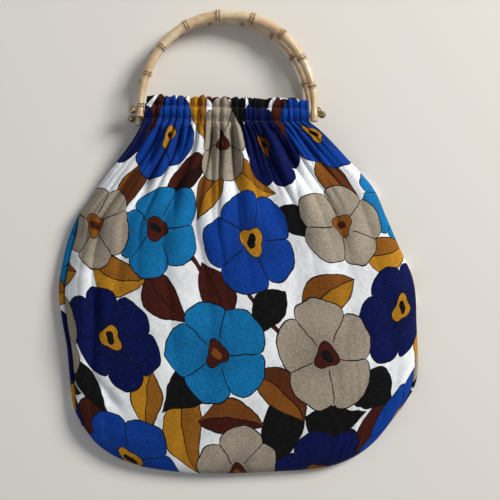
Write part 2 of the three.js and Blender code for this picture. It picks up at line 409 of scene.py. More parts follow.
# %% How folds lift the cloth
stitch_pinch = 0.3  # what the stitches leave of a tube's depth
pinch_reach = 9 * mm


def gather_tubes(across, below, seed, number):
    """The tubes of one set, from 0 in the valleys to 1, with their phase and each tube's number."""
    kind = fold_sets[number]
    draw = np.random.default_rng(10 * seed + number)
    waves = ((draw.uniform(-1, 1), k) for k in range(9))
    uneven = sum(size * np.sin((k + 2) * math.pi * across + k) for size, k in waves)
    sway = np.sin(below / (50 * mm) + 5 * across + seed) * np.minimum(below / (150 * mm), 1)
    phase = kind.count * across + 0.28 * uneven + 0.3 * sway
    tube = np.abs(np.cos(math.pi * phase)) ** kind.softness
    own = np.floor(phase + 0.5).astype(int) + 3
    return tube, phase, np.clip(own, 0, kind.count + spare_folds - 1)


def folds(across, below, seed):
    """How far the folds lift the cloth, and how far they bulge sideways as a share of its width.

    The bulge makes the tubes' crowns broad and the valleys between them narrow.
    """
    height, aside = np.zeros_like(across), np.zeros_like(across)
    for number, kind in enumerate(fold_sets):
        tube, phase, own = gather_tubes(across, below, seed, number)
        draw = np.random.default_rng(100 * seed + number)
        number_drawn = kind.count + spare_folds
        depths = kind.depth * draw.uniform(*depth_spread, number_drawn)[own]
        reach = draw.uniform(kind.shortest, kind.longest, number_drawn)[own] * mm
        if kind.start:
            begun = smoothstep(below, 0.4 * kind.start * mm, 2.2 * kind.start * mm)
        else:
            begun = stitch_pinch + (1 - stitch_pinch) * smoothstep(below, 0, pinch_reach)
        middle_reach = 0.5 * (kind.shortest + kind.longest) * mm
        level = 0.6 * kind.depth * np.exp(-(below / middle_reach) ** 2)
        left = np.exp(-(below / reach) ** 2)
        height += mm * begun * (depths * tube * left - level)
        aside += (kind.bulge * begun * left * np.minimum(depths / kind.depth, 1)
                  * np.sin(math.tau * phase) / kind.count)
    return height, aside


def gather_wave(across, seed):
    """The gathers where the stitches pinch them, from about -1 to 1, and their bulge sideways."""
    at_stitches = np.zeros_like(across)
    draw = np.random.default_rng(100 * seed)
    tube, phase, own = gather_tubes(across, at_stitches, seed, fold_sets.index(tubes))
    broad = 1.7 * tube * draw.uniform(*depth_spread, tubes.count + spare_folds)[own] - 0.95
    tube, _, own = gather_tubes(across, at_stitches, seed, fold_sets.index(fine_pleats))
    fine = 0.55 * tube * draw.uniform(0.2, 1.4, fine_pleats.count + spare_folds)[own] - 0.25
    return broad + fine, tubes.bulge * np.sin(math.tau * phase) / tubes.count


shown = folds(np.linspace(0, 1, 200), np.full(200, 20 * mm), front_seed)[0]
print("folds are", round(np.ptp(shown) / mm, 1), "mm deep 20 mm below the stitches")

# %% [markdown]
# A few long creases stand out in the photo and are too plain to leave to chance: the deep valley
# left of the middle, the valleys that slant to both sides, and the slack folds low at the left.
# Each is a line on the bag, with a depth and a width. The cloth dips sharply along it.

# %% Creases
rod_pixel = np.array([227.9, 115.8])
creases = [  # from, to, depth, width, in the photo's pixels, which are millimetres
    ((213, 108), (215, 240), 6.6, 7), ((247, 118), (258, 196), 4.3, 6),
    ((181, 126), (176, 236), 4.4, 7), ((163, 126), (146, 210), 4.2, 6),
    ((279, 120), (300, 222), 4.2, 7), ((296, 124), (347, 222), 3.8, 8),
    ((231, 150), (236, 290), 2.0, 12), ((136, 140), (96, 228), 2.4, 9),
    ((322, 150), (378, 250), 2.0, 11), ((101, 280), (94, 408), 5.5, 7),
    ((80, 292), (82, 384), -3.0, 12), ((96, 372), (126, 412), 4.2, 6),
    ((252, 268), (306, 243), 1.6, 9), ((138, 262), (120, 330), 1.6, 12),
    ((392, 286), (384, 372), 2.2, 9), ((192, 236), (205, 330), 1.5, 14),
    ((352, 300), (330, 402), 1.3, 15), ((120, 250), (88, 262), 1.5, 9),
]


def crease_depth(place):
    """How far the creases press the cloth down at each place across and along the bag."""
    spot = (place - front_rod.place[:2]) / mm * [1, -1] + rod_pixel
    pressed = np.zeros(place.shape[:-1])
    for start, end, depth, width in creases:
        start, line = np.array(start, float), np.array(end, float) - start
        share = ((spot - start) @ line) / (line @ line)
        away = spot - start - np.clip(share, 0, 1)[..., None] * line
        bend = 1.5 * np.sin(3.1 * share + start[0])
        aside = np.hypot(away[..., 0] + bend, away[..., 1])
        ends = smoothstep(share, -0.05, 0.2) * smoothstep(share, 1.1, 0.55)
        raised_banks = 0.35 * np.exp(-((aside - 1.4 * width) / width) ** 2)
        pressed += depth * mm * ends * (np.exp(-aside / width) - raised_banks)
    return pressed


print(len(creases), "creases, the deepest", max(crease[2] for crease in creases), "mm")

# %% [markdown]
# The edge of the bag is a roll: the back panel comes round the side and is sewn to the front one.
# The photo shows a strip of the back panel outside the seam at the left and at the lower right, so
# there the seam has rolled onto the upper side. One angle says how far it has rolled. Here s runs
# from the left side to the right, and t from the pocket to the bottom seam.

# %% The rolled seam
edge_radius = 5.3 * mm
cloth = 0.6 * mm
full_roll = math.radians(122)
least_roll = 0.08
slit_end = 0.31


def seam_turn(s, t):
    """How far the seam has rolled up over the edge, at a place on the outline."""
    left = (smoothstep(t, 0.3, 0.42) * (1 - 0.25 * smoothstep(t, 0.85, 1))
            * (1 - smoothstep(s, 0.02, 0.12)))
    right = smoothstep(t, 0.78, 0.9) * smoothstep(s, 0.86, 0.96)
    right_corner, left_corner = smoothstep(s, 0.75, 0.95), 1 - smoothstep(s, 0, 0.2)
    low = smoothstep(t, 0.9, 1) * (0.22 + 0.5 * right_corner + 0.45 * left_corner)
    return full_roll * np.clip(np.maximum(np.maximum(left, right), low), least_roll, 1)


def seam_inset(s, t):
    return edge_radius * (1 - np.cos(seam_turn(s, t)))


def seam_height(s, t):
    return cloth + edge_radius * (1 + np.sin(seam_turn(s, t)))


print("left seam lies", round(float(seam_inset(0.0, 0.6)) / mm, 1), "mm inside the edge")

# %% [markdown]
# The head of each panel is one strip of cloth folded over: from the hem inside, up behind the rod,
# up the back of the frill, over its top, down the front of the frill and over the rod again. The
# two stitch rows pinch it flat. This profile lists its turns as height above the rod, distance out
# of the rod's plane, and how much the gathers move it.

# %% The head of a panel
upper_pinch = (4.9, 0.7, 0.7)
head_profile = [
    (-9.5, -3.2, 0.5), (-7.0, -2.3, 0.7), (-5.6, -2.7, -0.3), (-3.6, -3.5, -1.0),
    (-1.2, -4.0, -1.1), (1.2, -4.0, -1.1), (3.0, -3.0, -0.8), (4.2, -1.5, 0.2), (4.9, -0.7, 0.7),
    (6.2, -1.3, 1.6), (8.6, -1.5, 2.5), (11.2, -1.5, 2.7), (13.4, -1.2, 2.3), (14.8, -0.5, 1.7),
    (14.8, 0.5, 1.7), (13.4, 1.5, 2.5), (11.2, 2.0, 3.2), (8.6, 1.9, 3.1), (6.2, 1.4, 2.0),
    upper_pinch, (4.2, 1.3, 0.8), (3.0, 2.9, 1.5), (1.2, 3.9, 1.9), (-1.2, 3.9, 1.9),
    (-3.6, 3.3, 1.7), (-5.6, 2.1, 1.1),
]
head_count = len(head_profile)
frill_slant = 1.2 * mm
frill_top = 15  # millimetres above the rod


def head_rows(rod, columns, facing, seed):
    """The rows of a head, from the hem inside to the stitches, with how far each is along it."""
    across = np.linspace(0, 1, columns)
    wave, aside = gather_wave(across, seed)
    calm = np.minimum(1, near_edge(across) * 14)
    swell = 0.5 * np.sin(14 * math.pi * across + seed) + 1.1 * wave * calm - 0.6
    rows, travelled, last = [], [], None
    for up, out, lift in head_profile:
        half = pocket_half_width - frill_slant * max(0, up * mm) / (frill_top * mm)
        x = (2 * (across + aside * calm * min(1, stitch_pinch * max(lift, 0))) - 1) * half
        ruffle = (up + swell * max(0, up) / frill_top) * mm
        z = facing * (out * mm + lift * calm * 1.0 * mm * wave)
        rows.append(rod.at(x, ruffle, z))
        travelled.append(travelled[-1] + math.dist((up, out), last) * mm if last else 0)
        last = (up, out)
    return rows, [step - travelled[-1] for step in travelled]


print("the strip of a head is",
      round(sum(math.dist(a[:2], b[:2]) for a, b in zip(head_profile, head_profile[1:]))),
      "mm of cloth")

# %% [markdown]
# Cloth that lies slack is never quite smooth. A sum of a few slanting waves gives it broad soft
# unevenness, and a seam draws it into short puckers that fade out a few centimetres from it.

# %% Slack cloth and puckers
panel_length = 0.345
panel_width = 0.34
columns, body_rows = 300, 120
row_spacing = 1.15  # above 1, rows lie closer together at the stitches


def body_grid():
    """The share across and the share down of every point below the stitches."""
    down = np.linspace(0, 1, body_rows + 1)[1:] ** row_spacing
    return np.meshgrid(np.linspace(0, 1, columns), down)


def crowded(across, t):
    """Threads crowd towards the edges lower down, where the cloth turns steeply."""
    to_the_edges = (1 - np.cos(math.pi * across)) / 2 - across
    return across + 0.25 * smoothstep(t, 0.02, 0.5) * to_the_edges


def wrinkles(s, t, seed=3):
    draw = np.random.default_rng(seed)
    height = np.zeros_like(s)
    for _ in range(16):
        angle, pace, phase = draw.uniform(0, math.pi), draw.uniform(5, 17), draw.uniform(0, 6.3)
        slanted = np.cos(angle) * s + np.sin(angle) * t
        height += np.sin(pace * slanted + phase + 1.3 * np.sin(3 * s + 2 * t)) / pace
    return height * 1.9 * mm


def puckers(s, t, seed=4):
    draw = np.random.default_rng(seed)
    height = np.zeros_like(s)
    for edge_distance, position, reach in ((1 - t, s, 0.07), (s, t, 0.05), (1 - s, t, 0.05)):
        phase = sum(draw.uniform(0.4, 1)
                    * np.sin(draw.uniform(5, 30) * position + draw.uniform(0, 6))
                    for _ in range(5))
        near = edge_distance / reach * np.exp(1 - edge_distance / reach)
        height += 0.4 * mm * near * np.sin(2 * math.pi * 11 * position + 4 * phase)
    return height * smoothstep(t, slit_end, slit_end + 0.15)


print("wrinkles are", round(np.ptp(wrinkles(*body_grid())) / mm, 1), "mm high in all")

# %% [markdown]
# Below the stitches comes the body of the panel. The front one swells over what the bag holds and
# comes down to the seam: a height for the edge, a height for the full belly, and a dome that leads
# from one to the other. Folds, slack and creases are added to it.

# %% The front body
belly = 30 * mm


def side_insets(t):
    """How far inside the outline the side seams lie, as shares of the panel's width."""
    opened = smoothstep(t, 0.02, slit_end)
    return [seam_inset(0 * t + side, t) / panel_width * opened for side in (0, 1)]


def puff(below):
    """The gathered cloth swells right below the stitches that pinch it."""
    return 2.4 * mm * smoothstep(below, 0, pinch_reach) * np.exp(-below / (55 * mm))


def front_body(edges, rod, seed):
    across, t = body_grid()
    s = crowded(across, t)
    inset_left, inset_right = side_insets(t)
    inset_low = seam_inset(s, 0 * t + 1) / panel_length
    sewn_across = inset_left + s * (1 - inset_left - inset_right)
    place = coons(edges, sewn_across, t * (1 - inset_low))
    away = np.abs(2 * s - 1)
    rise = np.sqrt(np.maximum(0, 1 - away ** 4)) * np.sqrt(np.maximum(0, 1 - t ** 5))
    rod_height = rod.place[2]
    edge = rod_height + (seam_height(s, t) - rod_height) * smoothstep(t, 0, slit_end)
    full = rod_height + (belly - rod_height) * smoothstep(t, 0, 0.42)
    below = t * panel_length
    calm = np.minimum(1, 8 * near_edge(across))
    lifted, aside = folds(across, below, seed)
    lifted = lifted * calm * np.sqrt(1 - t)
    place = place + (aside * calm)[..., None] * (place[:, -1:] - place[:, :1])
    slack = (wrinkles(s, t) + puckers(s, t)) * smoothstep(t, 0.05, 0.35) * np.sqrt(rise)
    lifted = lifted - (crease_depth(place) * np.sqrt(rise)
                       * smoothstep(below, 3 * mm, 22 * mm))
    height = edge + (full - edge) * rise + puff(below) * calm + lifted + slack * (rise > 0)
    return np.dstack([place, np.maximum(height, seam_height(s, t) * 0.98)]), across, below


front_edges, back_edges = panel_edges(front_rod), panel_edges(back_rod)
front_points = front_body(front_edges, front_rod, front_seed)
print("front belly is", round(front_points[0][..., 2].max() / mm, 1), "mm high")

# %% [markdown]
# The back panel lies on the table, and its edges curl up to the same seam. Measured along the cloth
# from the seam, it first goes round the roll and then runs flat. So a point's distance along the
# cloth gives both how far in and how high it lies.

# %% The back body


def rolled(distance, turn, radius):
    """How far in and how high cloth lies at a distance from a seam that has rolled up."""
    angle = turn - distance / radius
    flat = np.maximum(0, distance - radius * (turn + math.pi / 2))
    bent = np.maximum(angle, -math.pi / 2)
    return radius * (1 - np.cos(bent)) + flat, radius * (1 + np.sin(bent))


def back_body(edges, rod, seed):
    across, t = body_grid()
    s = crowded(across, t)
    radius = edge_radius * smoothstep(t, 0.12, 0.36) + 0.05 * mm
    half = near_edge(s) * (panel_width + 2 * edge_radius)
    side_in, side_up = rolled(half, seam_turn(np.round(s), t), radius)
    middle = smoothstep(near_edge(s), 0.2, 0.45)
    from_left = np.where(s < 0.5, side_in, panel_width - side_in)
    s_in = from_left / panel_width * (1 - middle) + s * middle
    inset_left, inset_right = side_insets(t)
    above_front = np.clip((s_in - inset_left) / (1 - inset_left - inset_right), 0, 1)
    low_turn = seam_turn(above_front, 0 * t + 1)
    low_in, low_up = rolled((1 - t) * panel_length, low_turn, edge_radius + 0 * t)
    upper = smoothstep(t, 0.7, 0.3)
    t_rolled = (1 - low_in / panel_length) * (1 - upper) + t * upper
    t_seam = t * (1 - seam_inset(above_front, 0 * t + 1) / panel_length)
    inward = smoothstep(near_edge(s), 0, 0.1)
    place = coons(edges, s_in, t_seam * (1 - inward) + t_rolled * inward)
    near_rod = rod.place[2] * (1 - smoothstep(t, 0, 0.16))
    height = cloth + np.maximum(np.maximum(side_up, low_up), near_rod)
    below = t * panel_length
    calm = np.minimum(1, 14 * near_edge(across))
    lifted = folds(across, below, seed)[0] * calm
    height = np.maximum(height - 0.9 * lifted * smoothstep(t, 0.3, 0) - 0.4 * puff(below), cloth)
    return np.dstack([place, height]), across, below


back_points = back_body(back_edges, back_rod, back_seed)
print("back panel rises to", round(back_points[0][..., 2].max() / mm, 1), "mm at its edges")

# %% [markdown]
# The cloth is printed with large flowers, leaves and stems in a few strong dyes on a white ground.
# A picture would be the usual way to make such a print. Here each motif is a formula for the
# distance to its outline, measured on the flat cloth. The motifs are laid over one another like
# screens in a print shop, so the edges stay sharp at any size. This layout is made up for this bag.

# %% The dyes
dyes = {
    "ground": rgb("ECF0F3"), "navy": rgb("031048"), "cobalt": rgb("0A3C94"),
    "turquoise": rgb("0E70AA"), "taupe": rgb("A09585"), "mustard": rgb("B57E1E"),
    "tan": rgb("7E4A18"), "chocolate": rgb("40160E"), "black": rgb("070707"),
    "line": rgb("0A0808"),
}
print(len(dyes), "dyes, the ground among them")

# %% [markdown]
# All motifs share a start: a node group that takes the colour underneath and the place on the
# cloth, and measures from the motif's centre in millimetres. A billionth of the colour underneath
# is added to the place, so that the motifs are worked out one after another. Otherwise the renderer
# holds them all at once and runs out of room.

# %% What every motif starts with
print_repeat = (0.3, 0.32, 1.0)
line_width = 0.85


def add_sockets(tree, way, sockets):
    """Gives a node group its named inputs or outputs."""
    for label, kind in sockets:
        tree.interface.new_socket(label, in_out=way, socket_type="NodeSocket" + kind)


def motif_tree(name, inputs):
    """A node group that paints one motif, its graph, its inputs and the way from its centre."""
    tree = bpy.data.node_groups.new(name, "ShaderNodeTree")
    add_sockets(tree, "INPUT", [("Under", "Color"), ("Cloth", "Vector"), ("Centre", "Vector")])
    add_sockets(tree, "INPUT", inputs)
    add_sockets(tree, "OUTPUT", [("Print", "Color")])
    graph = Graph(tree)
    given = graph.node("NodeGroupInput").outputs
    half = tuple(size / 2 for size in print_repeat)
    in_turn = graph.vector("MULTIPLY_ADD", given["Under"], (1e-9, 1e-9, 1e-9), given["Cloth"])
    away = graph.vector("WRAP", graph.vector("SUBTRACT", in_turn, given["Centre"]), half,
                        tuple(-size for size in half))
    return tree, graph, given, graph.vector("MULTIPLY", away, (1000, 1000, 0))


def inside(graph, distance):
    return graph.ramp(distance, 0.3, -0.3)


def near_line(graph, distance, width=line_width):
    return graph.ramp(graph.math("ABSOLUTE", distance), width, width * 0.45)


def painted_over(graph, given, distance, paint, width=line_width):
    """Lays the paint inside the motif's edge and a dark line along it, and hands it out."""
    painted = graph.mix(inside(graph, distance), given["Under"], paint)
    painted = graph.mix(near_line(graph, distance, width), painted, dyes["line"])
    graph.node("NodeGroupOutput", {0: painted})


print("the print repeats every", [round(size / mm) for size in print_repeat[:2]], "mm")

# %% [markdown]
# A flower's edge is a circle whose radius swells with each petal, as a cosine of the angle does.
# Two slow waves keep the petals from being alike. The same cosine, near zero, draws the lines
# between the petals, and two smaller uneven circles make the heart and the eye.

# %% A flower
flower, g, given, away = motif_tree("printed flower", [
    ("Size", "Float"), ("Petals", "Float"), ("Turn", "Float"), ("Paint", "Color"),
    ("Heart", "Color"), ("Eye", "Color")])
x, y, _ = g.parts(away)
radius = g.vector("LENGTH", away, result=1)
angle = g.math("ADD", g.math("ARCTAN2", y, x), given["Turn"])
half_petals = g.math("MULTIPLY", given["Petals"], 0.5)
petal_wave = g.math("ABSOLUTE", g.math("COSINE", g.math("MULTIPLY", angle, half_petals)))
roundness = g.math("POWER", petal_wave, 0.55)
sway = g.math("SINE", g.math("MULTIPLY_ADD", angle, 2.0, given["Size"]))
frill_wave = g.math("SINE", g.math("MULTIPLY_ADD", angle, 13.0, given["Turn"]))
uneven = g.math("MULTIPLY_ADD", sway, 0.055, g.math("MULTIPLY", frill_wave, 0.008))
edge_share = g.math("ADD", g.math("MULTIPLY_ADD", roundness, 0.2, 0.77), uneven)
distance = g.math("SUBTRACT", radius, g.math("MULTIPLY", given["Size"], edge_share))
share = g.math("DIVIDE", radius, given["Size"])
split = g.math("MULTIPLY", petal_wave, radius)
reach_out = g.math("MULTIPLY", g.ramp(share, 0.24, 0.3), g.ramp(share, 0.86, 0.74))
petal_line = g.math("MULTIPLY", g.ramp(split, 1.9, 0.8), reach_out)
stain = g.ramp(share, 0.62, 0.12, 0.0, 0.45)
petal = g.mix(stain, given["Paint"], g.mix(0.6, given["Paint"], dyes["black"]))
petal = g.mix(petal_line, petal, dyes["line"])


def uneven_circle(wave, lobes, swing, size):
    """The distance to a circle round the flower's middle that swings in and out."""
    edge = g.math("MULTIPLY_ADD", g.math(wave, g.math("MULTIPLY", angle, lobes)), swing, size)
    return g.math("SUBTRACT", radius, g.math("MULTIPLY", given["Size"], edge))


heart_distance = uneven_circle("SINE", 3.0, 0.045, 0.225)
petal = g.mix(inside(g, heart_distance), petal, given["Heart"])
petal = g.mix(near_line(g, heart_distance, 0.6), petal, dyes["line"])
petal = g.mix(inside(g, uneven_circle("COSINE", 2.0, 0.03, 0.1)), petal, given["Eye"])
painted_over(g, given, distance, petal)
print("flower", len(flower.nodes), "nodes")

# %% [markdown]
# A leaf is measured along and across itself, so its place is turned first. Its middle line bows,
# its width runs out at both tips, and it is fuller towards its foot. One side is shaded.

# %% A leaf
leaf, g, given, away = motif_tree("printed leaf", [
    ("Length", "Float"), ("Width", "Float"), ("Turn", "Float"), ("Bend", "Float"),
    ("Paint", "Color"), ("Shade", "Color")])


def turned_parts(graph, away, turn):
    """The way from the centre, turned along with the motif, and its parts."""
    turned = graph.node("ShaderNodeVectorRotate", {"Vector": away, "Angle": turn},
                        rotation_type="Z_AXIS").outputs[0]
    return turned, *graph.parts(turned)


_, x, y, _ = turned_parts(g, away, given["Turn"])
share = g.math("DIVIDE", x, given["Length"])
squared = g.math("MULTIPLY", share, share)
bow = g.math("MULTIPLY", given["Bend"], squared)
side = g.math("SUBTRACT", y, g.math("MULTIPLY", bow, given["Length"]))
taper = g.math("SUBTRACT", 1.0, squared)
fuller_foot = g.math("MAXIMUM", g.math("MULTIPLY_ADD", share, -0.38, 1.0), 0.2)
half_width = g.math("MULTIPLY", given["Width"], g.math("MULTIPLY", taper, fuller_foot))
distance = g.math("MULTIPLY", g.math("SUBTRACT", g.math("ABSOLUTE", side), half_width), 0.88)
shaded = g.mix(g.ramp(side, -0.2, 0.5, 0.0, 0.75), given["Paint"], given["Shade"])
shaded = g.mix(near_line(g, side, 0.7), shaded, dyes["line"])
painted_over(g, given, distance, shaded, 0.75)
print("leaf", len(leaf.nodes), "nodes")

# %% [markdown]
# A stem is a piece of a ring: the distance to a circle, as far as an angle to both sides, and
# thinner towards its ends.

# %% A stem
stem, g, given, away = motif_tree("printed stem", [
    ("Radius", "Float"), ("Turn", "Float"), ("Spread", "Float"), ("Thickness", "Float"),
    ("Paint", "Color")])
turned, x, y, _ = turned_parts(g, away, given["Turn"])
from_ring = g.math("SUBTRACT", g.vector("LENGTH", turned, result=1), given["Radius"])
open_angle = g.math("ABSOLUTE", g.math("ARCTAN2", y, x))
thinned = g.ramp(open_angle, given["Spread"], 0.0, 0.6, 1.0, smooth=False)
thick = g.math("MULTIPLY", given["Thickness"], thinned)
past_end = g.math("MULTIPLY", g.math("SUBTRACT", open_angle, given["Spread"]), given["Radius"])
distance = g.math("MAXIMUM", g.math("SUBTRACT", g.math("ABSOLUTE", from_ring), thick), past_end)
painted_over(g, given, distance, given["Paint"], 0.6)
print("stem", len(stem.nodes), "nodes")

# %% [markdown]
# The layout lists the motifs in the order they are printed: stems first, then leaves, then flowers
# on top. Places are millimetres on the flat cloth, from the middle of the pocket's stitches.

# %% The layout of the print
stems = [  # middle, radius, turn, spread, thickness, dye
    (-20, -120, 84, 0.5, 0.95, 2.2, "tan"), (96, -190, 78, 2.3, 0.9, 1.9, "chocolate"),
    (-92, -250, 88, -1.0, 0.9, 2.3, "chocolate"),
]
leaves = [  # middle, length, width, turn, bend, dye, shade
    (-54, -22, 42, 21, 1.35, 0.2, "mustard", "tan"),
    (47, -24, 42, 21, 1.75, -0.2, "black", "black"),
    (148, -44, 42, 21, 1.5, 0.25, "chocolate", "chocolate"),
    (-56, -98, 38, 18, 2.4, 0.2, "chocolate", "black"),
    (46, -108, 36, 18, 0.6, 0.3, "mustard", "tan"),
    (-136, -116, 36, 19, 1.5, 0.2, "tan", "chocolate"),
    (102, -150, 33, 15, 0.4, -0.2, "black", "black"),
    (-114, -206, 36, 18, 0.1, 0.3, "mustard", "tan"),
    (-6, -220, 36, 18, 1.4, -0.3, "chocolate", "chocolate"),
    (98, -222, 38, 18, 2.6, 0.25, "tan", "mustard"),
    (-52, -300, 33, 16, 2.7, 0.3, "black", "black"),
    (46, -304, 35, 17, 0.7, -0.2, "tan", "chocolate"),
    (-66, -222, 31, 17, 0.9, 0.2, "chocolate", "chocolate"),
    (-16, -116, 31, 17, 2.0, 0.2, "tan", "mustard"),
    (142, -316, 30, 16, 0.5, -0.3, "black", "black"),
    (38, -232, 30, 15, 2.3, 0.2, "black", "black"),
    (-92, -314, 28, 14, 1.7, 0.2, "mustard", "tan"),
    (-4, -4, 34, 15, 0.1, -0.2, "chocolate", "tan"),
    (100, -16, 33, 16, 0.1, 0.2, "black", "black"),
]
flowers = [  # middle, size, petals, turn, dye, heart, eye
    (-112, -56, 51, 5, 0.3, "cobalt", "mustard", "black"),
    (4, -60, 47, 5, 1.0, "taupe", "chocolate", "tan"),
    (92, -66, 50, 6, 0.2, "navy", "tan", "black"),
    (-74, -156, 50, 5, 0.5, "turquoise", "chocolate", "black"),
    (36, -166, 53, 5, 1.9, "cobalt", "mustard", "black"),
    (146, -160, 46, 5, 0.1, "taupe", "tan", "chocolate"),
    (-122, -262, 50, 6, 1.3, "navy", "mustard", "black"),
    (-16, -268, 50, 5, 0.7, "turquoise", "chocolate", "tan"),
    (92, -274, 52, 5, 0.9, "taupe", "chocolate", "black"),
]


def print_layout(graph, cloth_place):
    """The colour of the whole print: each motif is laid over what is there already."""
    under = dyes["ground"]
    for motif, rows in ((stem, stems), (leaf, leaves), (flower, flowers)):
        labels = [item.name for item in motif.interface.items_tree if item.in_out == "INPUT"][3:]
        for x, y, *values in rows:
            inputs = {"Under": under, "Cloth": cloth_place, "Centre": (x * mm, y * mm, 0)}
            inputs.update((label, dyes.get(value, value)) for label, value in zip(labels, values))
            under = graph.node("ShaderNodeGroup", inputs, node_tree=motif).outputs[0]
    return under


print(len(stems) + len(leaves) + len(flowers), "motifs in the print")

# %% [markdown]
# Dye never lies evenly on a plain weave. Threads of different thickness take it differently, which
# gives the blues a heathered look, and wider clouds show where the screen held more dye.

# %% The dyed cotton
cotton, ink, cotton_surface = new_material("printed_cotton")
cloth_flat = ink.node("ShaderNodeUVMap", uv_map="flat_cloth").outputs[0]
hand = ink.node("ShaderNodeTexNoise", {"Vector": cloth_flat, "Scale": 28.0, "Detail": 3.0})
hand = ink.vector("SUBTRACT", hand.outputs["Color"], (0.5, 0.5, 0.5))
wander = ink.vector("MULTIPLY", hand, (0.011, 0.011, 0))
print_start = (0.012, -0.036, 0.0)
drawn = ink.vector("ADD", ink.vector("ADD", cloth_flat, wander), print_start)
print_colour = print_layout(ink, drawn)
warp_threads = ink.noise(ink.vector("MULTIPLY", cloth_flat, (1900, 160, 0)), 1.0, 2.0, 0.6)
weft_threads = ink.noise(ink.vector("MULTIPLY", cloth_flat, (160, 1900, 0)), 1.0, 2.0, 0.6)
threads = ink.math("ADD", warp_threads, weft_threads)
heather = ink.ramp(threads, 0.72, 1.28, 0.78, 1.22, smooth=False)
clouds = ink.noise(cloth_flat, 26.0, 4.0, 0.6)
cloudy = ink.ramp(clouds, 0.3, 0.7, 0.86, 1.16, smooth=False)
brightness = ink.node("ShaderNodeRGBToBW", {0: print_colour}).outputs[0]
mottle = ink.ramp(ink.noise(cloth_flat, 620.0, 2.0, 0.6), 0.36, 0.64, -0.26, 0.2, smooth=False)
mottled = ink.math("MULTIPLY_ADD", ink.ramp(brightness, 0.75, 0.45), mottle, 1.0)
shade = ink.math("MULTIPLY", ink.math("MULTIPLY", heather, cloudy), mottled)
dyed = ink.mix(1.0, print_colour, ink.point(shade, shade, shade), blend="MULTIPLY")
faded = ink.mix(ink.ramp(threads, 1.08, 1.35, 0.0, 0.035), dyed, rgb("DAD7D0"))
ink.plug(faded, cotton_surface["Base Color"])
ink.plug(ink.ramp(threads, 0.7, 1.3, 0.92, 0.78), cotton_surface["Roughness"])
cotton_surface["Specular IOR Level"].default_value = 0.09
cotton_surface["Sheen Weight"].default_value = 0.02
cotton_surface["Sheen Roughness"].default_value = 0.5
print(len(ink.tree.nodes), "nodes in the dyed cotton")

# %% [markdown]
# The weave itself is a bump: threads that go over and under one another, and slubs, the thicker
# places in a thread, stretched along both directions. A softer bump on top of it is the fine
# crumple of cotton that has been worn and never ironed.

# %% The weave and its crumple
thread_gap = 0.55 * mm
u, v, _ = ink.parts(cloth_flat)
waves = [ink.math("SINE", ink.math("MULTIPLY", way, math.tau / thread_gap)) for way in (u, v)]
over_under = ink.math("MULTIPLY", ink.math("MULTIPLY", *waves), 0.35)
relief = ink.math("MULTIPLY_ADD", threads, 0.8, over_under)
weave = ink.bump(relief, 0.12 * mm, 0.7)
crumple = ink.noise(ink.vector("MULTIPLY", cloth_flat, (75, 42, 0)), 1.0, 3.0, 0.55)
ink.plug(ink.bump(crumple, 1.6 * mm, 0.5, under=weave), cotton_surface["Normal"])
print("threads lie", round(thread_gap / mm, 2), "mm apart")

# %% [markdown]
# Head and body are one grid of points. Beside its place, each point keeps where it was on the flat
# cloth before it was gathered. The print follows these flat places, so it closes up in the
# gathers as a real print does.

# %% Where each point was on the flat cloth
flat_width = 0.385
back_print_shift = (0.9, 0.35)  # the back shows another part of the repeat


def cloth_used(points, below):
    """The share of the flat width used up at each point: steep flanks of folds take more cloth."""
    steps = np.linalg.norm(np.diff(points, axis=1), axis=2)
    length = np.concatenate([np.zeros((len(points), 1)), np.cumsum(steps, axis=1)], axis=1)
    used = length / length[:, -1:]
    gathered = np.mean(used[2 * head_count // 3:head_count + 12], axis=0)
    loose = np.mean(used[head_count + body_rows // 2:], axis=0)
    calm = smoothstep(below, 20 * mm, 230 * mm)
    return gathered * (1 - calm) + loose * calm


def lay_flat(panel, points, below, turned_over):
    """Keeps the flat place of each point in the panel's UV layer."""
    layer = panel.data.uv_layers.new(name="flat_cloth")
    corner = np.zeros(len(panel.data.loops), int)
    panel.data.loops.foreach_get("vertex_index", corner)
    flat = np.stack([(cloth_used(points, below).ravel() - 0.5) * flat_width, -below.ravel()], -1)
    if turned_over:
        flat = flat * [-1, 1] + back_print_shift
    layer.data.foreach_set("uv", flat[corner].ravel())


# %% [markdown]
# Each panel is now one sheet. A Solidify modifier gives it its thickness. The calls at the end put
# it on the bag's body and hide the solid that it stands in for.

# %% The two panels


def cloth_panel(name, node, rod, body, facing, seed):
    head, head_below = head_rows(rod, columns, facing, seed)
    points, _, below = body
    points = np.concatenate([np.array(head), points])
    below = np.concatenate([np.repeat(np.array(head_below)[:, None], columns, 1), below])
    faces = grid_faces(len(points), columns, facing < 0)
    panel = mesh_object(name, points.reshape(-1, 3), faces, cotton)
    lay_flat(panel, points, below, facing < 0)
    thick = panel.modifiers.new("thickness", "SOLIDIFY")
    thick.thickness = cloth
    thick.offset = -1
    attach(panel, "bag")
    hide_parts(node)
    print(name, len(points), "rows of", columns, "points")
    return panel


cloth_back = cloth_panel("cloth_back", "back_panel", back_rod, back_points, -1, back_seed)
cloth_front = cloth_panel("cloth_front", "front_panel", front_rod, front_points, 1, front_seed)

# %% [markdown]
# The handles are bamboo canes, steamed and bent into arches. A cane is a tube swept along a line,
# so its line comes first: a squarish arch that stands on two straight feet. Its points are close
# together at the joints and the cut ends, where the shape is fine, and wider between them.

# %% Where the canes run
handle_half_span = 84.7 * mm
handle_height = 95.5 * mm
handle_squareness = 2.12  # 2 would be an ellipse
handle_foot = 7 * mm
joint_places = np.cumsum([11, 32, 30, 32, 33, 34, 33, 31, 29]) * mm
joint_reach = 5.5 * mm
wide_step, fine_step = 1.6 * mm, 0.35 * mm
cut_steps = np.array([0, 0.25, 0.6, 1.1]) * mm


